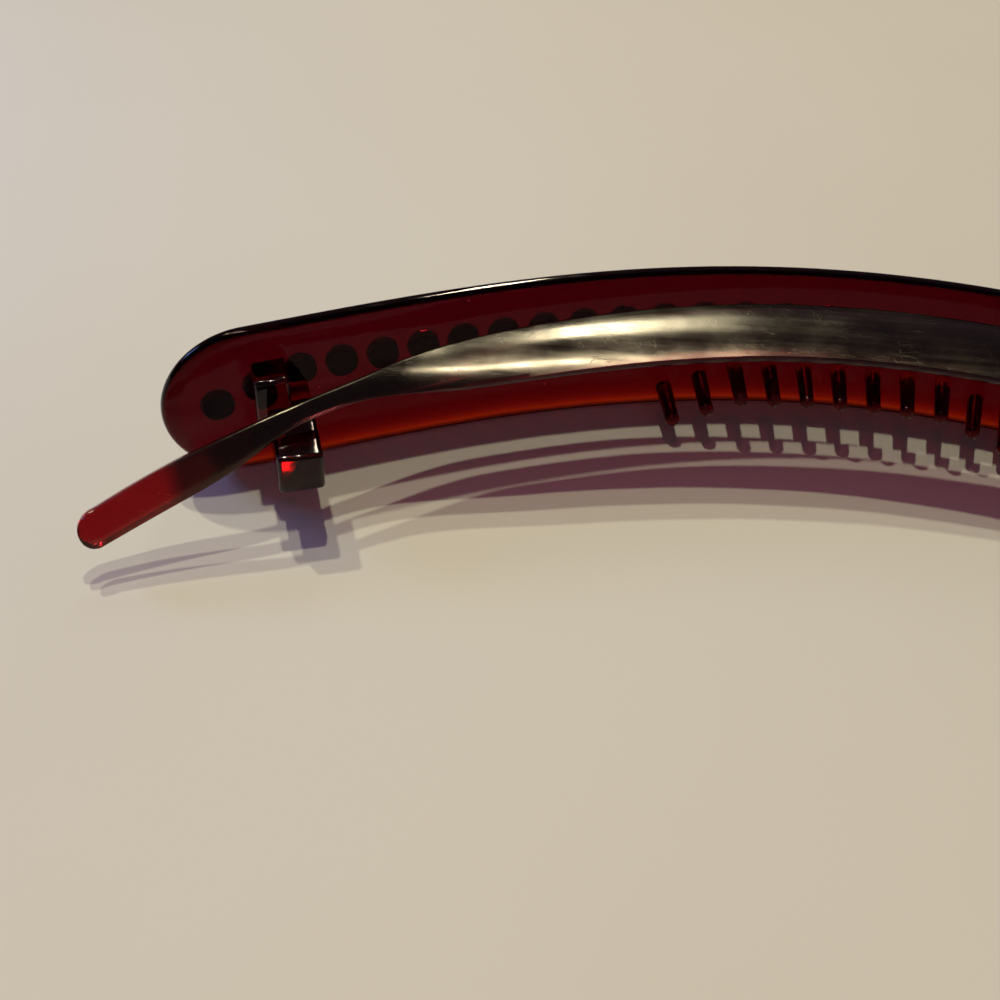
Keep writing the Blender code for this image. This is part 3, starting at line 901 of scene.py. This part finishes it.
def tongue_section(row):
    """The ring of one section in metres: underside, back edge, face, crease and front side."""
    s, standoff, height, width, thickness, lean = row
    lean = math.radians(lean)
    up = np.array([-math.sin(lean), math.cos(lean)])
    out = np.array([math.cos(lean), math.sin(lean)])
    middle = np.array([PLATE_THICKNESS / MM + standoff, height])
    half = width / 2
    edge = min(TONGUE_EDGE, width * EDGE_PER_WIDTH, thickness * EDGE_PER_THICKNESS)
    crown = min(TONGUE_CROWN, width * CROWN_PER_WIDTH)
    low = FRONT_DRAFT * thickness - half
    ring = [(low + CORNER_SOFTENING, -thickness)]
    ring += [(side * half * UNDERSIDE_POINT, -thickness) for side in (-1, 1)]
    ring += arc((half - edge, edge - thickness), edge, math.pi * 1.5, math.pi * 2, EDGE_STEPS)
    over = -crown * ((half - edge) / half) ** 2
    ring += arc((half - edge, over - edge), edge, 0.0, math.pi / 2, EDGE_STEPS)
    for u in np.linspace(half - edge, -half + CORNER_SOFTENING, FACE_STEPS)[1:]:
        ring.append((u, -crown * (u / half) ** 2))
    drop = thickness - crown
    for t in SIDE_STEPS:
        bulge = SIDE_BULGE * drop * math.sin(math.pi * t)
        ring.append((-half + (low + half) * t - bulge, -crown - drop * t))
    spots = np.array([middle + up * u + out * b for u, b in ring])
    return place(s * MM, spots[:, 0] * MM, spots[:, 1] * MM)


def tongue_mesh():
    rows = tongue_rows()
    rows = np.concatenate([rows[::-1], tab_end(rows[0])])
    bm = bmesh.new()
    rings = [[bm.verts.new(p) for p in tongue_section(row)] for row in rows]
    for ring, next_ring in zip(rings, rings[1:]):
        for i in range(len(ring)):
            j = (i + 1) % len(ring)
            bm.faces.new((ring[i], ring[j], next_ring[j], next_ring[i]))
    bm.faces.new(rings[0])
    bm.faces.new(rings[-1])
    return mesh_from("tongue_strip", bm)


TONGUE_PLASTIC = ruby_plastic(
    "ruby_plastic_tongue",
    (
        (0.0, (0.22, 0.003, 0.006)),
        (1.0, (0.16, 0.003, 0.005)),
        (0.30, (0.26, 0.004, 0.007)),
        (0.60, (0.20, 0.003, 0.006)),
    ),
    # near black from the neck on, and darker where the tab lies over the plate: painted shade for the dark
    # plate and shadow behind it
    deep_and_shade=(0.003, 0.0008, 0.0008),
    haze=(0.13, 0.24),
    bump=0.12,
    density=250.0,
    shadow=(0.33, 0.15, 0.24),
    speck_share=0.03,
    shine=(1.0, 0.86, 0.70),
    coat=0.0,
)
# where the tongue is painted darker as shade: the clear end of the tab and how fast it darkens, the neck,
# and how dark the tab is made over the plate
TAB_CLEAR_TO = -50.9
TAB_CLEAR_FADE = 1.3
NECK_FROM = -45.0
TAB_OVER_PLATE_SHADE = 0.84


def tongue_painted_shade(s, depth, z):
    """Painted shade: 0 on the clear end of the tab, more where it lies over the dark plate, and 1 from
    the neck on.
    """
    inner = np.where(s > NECK_FROM, 1.0, TAB_OVER_PLATE_SHADE)
    return np.minimum((s - TAB_CLEAR_TO) / TAB_CLEAR_FADE, inner)


knuckle_bore = upright_cylinder(
    "knuckle_bore", BORE_RADIUS, KNUCKLE_BOTTOM - BORE_OVERSHOOT, KNUCKLE_TOP + BORE_OVERSHOOT
)
tongue_changes = (
    ("UNION", upright_cylinder("knuckle", KNUCKLE_RADIUS, KNUCKLE_BOTTOM, KNUCKLE_TOP)),
    ("DIFFERENCE", knuckle_bore),
)
tongue_shape = carved("tongue_work", tongue_mesh(), tongue_changes)
mark_depth_and_shade(tongue_shape, tongue_painted_shade)
finished("clip_tongue", tongue_shape, TONGUE_PLASTIC, "tongue", "tongue", "tongue")


# Thirty-two flat-backed cut stones run along the outer side: foiled glass with a table, a ring of
# star facets, eight main facets and a cut girdle, each pressed into a bead of dark cement.

STONE_COUNT = 32
STONE_PITCH = 2.97 * MM
STONE_RADIUS = 1.2 * MM
STONE_BASE_RADIUS = 1.1 * MM
STONE_TABLE_RADIUS = 0.68 * MM
STONE_GIRDLE = 0.35 * MM
STONE_HEIGHT = 1.0 * MM
STONE_SEAT_GAP = 0.12 * MM
STONE_FACETS = 8
STONE_ROW_HEIGHT = 7.4 * MM
STONE_ROW_END_HEIGHT = 5.6 * MM
STONE_ROW_BEND_START = 47.0 * MM
STONE_ROW_BEND_LENGTH = 7.0 * MM
STONE_TURN = math.radians(9)
STONE_SEED = 7
STAR_SINK = 0.985
STAR_HEIGHT = STONE_HEIGHT * 0.75
GIRDLE_FOOT = STONE_GIRDLE * 0.7
ONE_FACET_ANGLE = math.radians(1)


def stone_cut():
    """One stone with its back at z = 0: table, star, main and girdle facets as the convex hull."""
    points = []
    for i in range(STONE_FACETS):
        a = 2 * math.pi * (i + 0.5) / STONE_FACETS
        b = a + math.pi / STONE_FACETS
        middle = (STONE_TABLE_RADIUS + STONE_RADIUS) / 2 * STAR_SINK
        levels = [(a, STONE_TABLE_RADIUS, STONE_HEIGHT), (b, middle, STAR_HEIGHT)]
        for turn in (a, b):
            levels.append((turn, STONE_RADIUS, STONE_GIRDLE))
            levels.append((turn, STONE_RADIUS, GIRDLE_FOOT))
            levels.append((turn, STONE_BASE_RADIUS, 0.0))
        points += [(radius * math.cos(turn), radius * math.sin(turn), z) for turn, radius, z in levels]
    bm = bmesh.new()
    verts = [bm.verts.new(p) for p in points]
    bmesh.ops.convex_hull(bm, input=verts)
    bmesh.ops.dissolve_limit(bm, angle_limit=ONE_FACET_ANGLE, verts=bm.verts, edges=bm.edges)
    return mesh_from("stone_cut", bm)


def stone_tree():
    """The cut stone on each seat, turned by a fixed random amount about its own axis."""
    tree, given, out = new_tree(
        "stone_row", [("Stone", "Object"), ("Turn", "Float"), ("Seed", "Int"), ("Material", "Material")]
    )
    stone = add_node(tree, "GeometryNodeObjectInfo", {"Object": given.outputs["Stone"]})
    free = add_node(
        tree,
        "FunctionNodeRandomValue",
        {
            "Min": math_node(tree, "MULTIPLY", given.outputs["Turn"], -1.0),
            "Max": given.outputs["Turn"],
            "Seed": given.outputs["Seed"],
        },
        data_type="FLOAT",
    )
    value = next(o for o in free.outputs if o.type == "VALUE" and o.enabled)
    real = seated(tree, given.outputs["Geometry"], stone.outputs["Geometry"], value)
    done = add_node(
        tree, "GeometryNodeSetMaterial", {"Geometry": real, "Material": given.outputs["Material"]}
    )
    tree.links.new(done.outputs[0], out.inputs[0])
    return tree


def stone_seats(lift):
    s = (np.arange(STONE_COUNT) - (STONE_COUNT - 1) / 2) * STONE_PITCH
    t = np.clip((STONE_ROW_BEND_START - np.abs(s)) / STONE_ROW_BEND_LENGTH, 0.0, 1.0)
    height = STONE_ROW_END_HEIGHT + (STONE_ROW_HEIGHT - STONE_ROW_END_HEIGHT) * t * t * (3 - 2 * t)
    points = place(s, np.full(STONE_COUNT, -lift), height)
    aims = np.concatenate([-arch(s)[1], np.zeros((STONE_COUNT, 1))], axis=1)
    return aimed_points("stone_seats", points, aims)


def foiled_glass():
    """Smoky glass over a dark foil, glossy, with a colour that changes from stone to stone."""
    material, tree, shader, spot = new_material("foiled_glass")
    tint = ramp(
        tree,
        noise_node(tree, spot, 300.0, 2.0),
        ((0.30, (0.030, 0.020, 0.026)), (0.70, (0.16, 0.11, 0.13)), (0.5, (0.07, 0.045, 0.055))),
    )
    tree.links.new(tint, shader.inputs["Base Color"])
    lines = add_node(tree, "ShaderNodeGroup", {}, node_tree=HAIRLINES)
    tree.links.new(spot, lines.inputs["Vector"])
    rough = math_node(tree, "ADD", 0.03, scaled(tree, lines.outputs[0], 0.2))
    tree.links.new(rough, shader.inputs["Roughness"])
    dent(tree, shader, noise_node(tree, spot, 2200.0, 1.0), 0.08, 0.00005)
    set_plain(shader, {"Metallic": 0.35, "IOR": 1.6, "Coat Weight": 1.0, "Coat Roughness": 0.02})
    return material


STONE_GLASS = foiled_glass()
cut = linked("stone_cut", stone_cut())
stones_made = grown(
    "stone_row",
    stone_seats(STONE_SEAT_GAP),
    stone_tree(),
    {"Stone": cut, "Turn": STONE_TURN, "Seed": STONE_SEED, "Material": STONE_GLASS},
)
bpy.data.objects.remove(cut, do_unlink=True)
stones = finished(
    "stone_row",
    stones_made,
    STONE_GLASS,
    "clip",
    "stones",
    *[f"stone_{i + 1:02d}" for i in range(STONE_COUNT)],
)
stones.data.shade_flat()


# Each stone sits in a small round bead of dark, set cement that fills the gap under its flat back
# and bites a little into both the stone and the plate.

CEMENT_RADIUS = 1.1 * MM
CEMENT_BITE = 0.03 * MM
CEMENT_TAPER = 0.93
CEMENT_SIDES = 28


def cement_tree():
    """A low tapered bead of cement on each seat."""
    tree, given, out = new_tree(
        "cement_row", [("Radius", "Float"), ("Rise", "Float"), ("Material", "Material")]
    )
    bead = add_node(
        tree,
        "GeometryNodeMeshCone",
        {
            "Vertices": CEMENT_SIDES,
            "Radius Top": math_node(tree, "MULTIPLY", given.outputs["Radius"], CEMENT_TAPER),
            "Radius Bottom": given.outputs["Radius"],
            "Depth": given.outputs["Rise"],
        },
    )
    real = seated(tree, given.outputs["Geometry"], bead.outputs["Mesh"])
    done = add_node(
        tree, "GeometryNodeSetMaterial", {"Geometry": real, "Material": given.outputs["Material"]}
    )
    tree.links.new(done.outputs[0], out.inputs[0])
    return tree


def dark_cement():
    material, tree, shader, spot = new_material("dark_cement")
    grit = noise_node(tree, spot, 2500.0, 4.0)
    tint = ramp(tree, grit, ((0.3, (0.012, 0.006, 0.008)), (0.7, (0.035, 0.018, 0.020))))
    tree.links.new(tint, shader.inputs["Base Color"])
    tree.links.new(ranged(tree, grit, 0.0, 1.0, 0.35, 0.7), shader.inputs["Roughness"])
    dent(tree, shader, grit, 0.4, 0.00004)
    return material


CEMENT_PASTE = dark_cement()
cement_made = grown(
    "cement_row",
    stone_seats(-CEMENT_BITE),
    cement_tree(),
    {
        "Radius": CEMENT_RADIUS,
        "Rise": STONE_SEAT_GAP + 2 * CEMENT_BITE,
        "Material": CEMENT_PASTE,
    },
)
finished("stone_cement", cement_made, CEMENT_PASTE, "clip", "stones")


# The table is a pale, slightly warm, matt painted top whose colour varies a little. It only carries
# the clip and its shadows and is not a piece of it.

FLOOR_HALF = 3.0
FLOOR_DROP = 0.00002


def pale_table():
    material, tree, shader, spot = new_material("pale_table")
    wash = noise_node(tree, spot, 14.0, 3.0)
    tint = ramp(tree, wash, ((0.35, (0.615, 0.585, 0.535)), (0.65, (0.655, 0.63, 0.585))))
    tree.links.new(tint, shader.inputs["Base Color"])
    tree.links.new(ranged(tree, wash, 0.0, 1.0, 0.5, 0.65), shader.inputs["Roughness"])
    shader.inputs["Specular IOR Level"].default_value = 0.3
    return material


floor_bm = bmesh.new()
bmesh.ops.create_grid(floor_bm, x_segments=1, y_segments=1, size=FLOOR_HALF)
bmesh.ops.translate(floor_bm, vec=(0, 0, -FLOOR_DROP), verts=floor_bm.verts)
floor = linked("table_top", mesh_from("table_top", floor_bm))
floor.data.materials.append(pale_table())


# Three small warm lamps stand high behind the clip and throw its three sets of shadows. A panel
# behind it is seen only in its gloss, and a small cool window light comes from low on the left.

LAMP_WARM = (1.0, 0.93, 0.68)
LAMP_STRENGTH = 0.83
LAMP_ANGLE = math.radians(1.6)
# directions from the clip towards the lamps
LAMP_DIRECTIONS = ((-0.026, 0.21, 1.0), (-0.191, 0.356, 1.0), (-0.426, 0.483, 1.0))
for i, direction in enumerate(LAMP_DIRECTIONS):
    lamp = bpy.data.lights.new(f"lamp_{i + 1}", "SUN")
    lamp.energy = LAMP_STRENGTH
    lamp.color = LAMP_WARM
    lamp.angle = LAMP_ANGLE
    holder = linked(f"lamp_{i + 1}", lamp)
    holder.rotation_mode = "QUATERNION"
    holder.rotation_quaternion = Vector(direction).to_track_quat("Z", "Y")

# name, position, width, height, watts, colour, whether it lights matt surfaces: aimed at the clip
SOFT_LAMPS = (
    ("back_lamp", (-0.052, 0.44, 0.41), 0.030, 0.15, 1.25, (1.0, 0.94, 0.66), False),
    ("window", (-0.16, 0.03, 0.07), 0.04, 0.04, 0.055, (0.22, 0.42, 1.0), True),
)
for name, position, width, height, watts, color, lights_matt in SOFT_LAMPS:
    lamp = bpy.data.lights.new(name, "AREA")
    lamp.shape = "RECTANGLE"
    lamp.size = width
    lamp.size_y = height
    lamp.energy = watts
    lamp.color = color
    holder = linked(name, lamp)
    holder.location = position
    holder.rotation_mode = "QUATERNION"
    holder.rotation_quaternion = Vector(position).to_track_quat("Z", "Y")
    holder.visible_camera = False
    holder.visible_diffuse = lights_matt

ROOM_COLOR = (1.0, 0.66, 0.82, 1.0)
ROOM_STRENGTH = 0.13
world = bpy.data.worlds.new("room")
world.use_nodes = True
set_plain(world.node_tree.nodes["Background"], {"Color": ROOM_COLOR, "Strength": ROOM_STRENGTH})
bpy.context.scene.world = world
bpy.context.scene.view_settings.view_transform = "Standard"


# The camera looks down on the hollow side from the left of the middle, close up.

CAMERA_POSITION = Vector((-15.700, -84.067, 77.850)) * MM
CAMERA_DOWN = math.radians(43.49)
CAMERA_YAW = math.radians(-4.427)
CAMERA_ROLL = math.radians(2.159)
CAMERA_LENS = 57.76
CAMERA_SENSOR = 36.0
CAMERA_NEAR = 2.0 * MM

look = Vector(
    (
        math.sin(CAMERA_YAW) * math.cos(CAMERA_DOWN),
        math.cos(CAMERA_YAW) * math.cos(CAMERA_DOWN),
        -math.sin(CAMERA_DOWN),
    )
)
level_right = Vector((math.cos(CAMERA_YAW), -math.sin(CAMERA_YAW), 0))
level_up = level_right.cross(look)
right = level_right * math.cos(CAMERA_ROLL) + level_up * math.sin(CAMERA_ROLL)
up = level_up * math.cos(CAMERA_ROLL) - level_right * math.sin(CAMERA_ROLL)
camera_data = bpy.data.cameras.new("camera")
camera_data.lens = CAMERA_LENS
camera_data.sensor_width = CAMERA_SENSOR
camera_data.clip_start = CAMERA_NEAR
camera = linked("camera", camera_data)
facing = Matrix((right, up, -look)).transposed().to_4x4()
camera.matrix_world = Matrix.Translation(CAMERA_POSITION) @ facing
bpy.context.scene.camera = camera
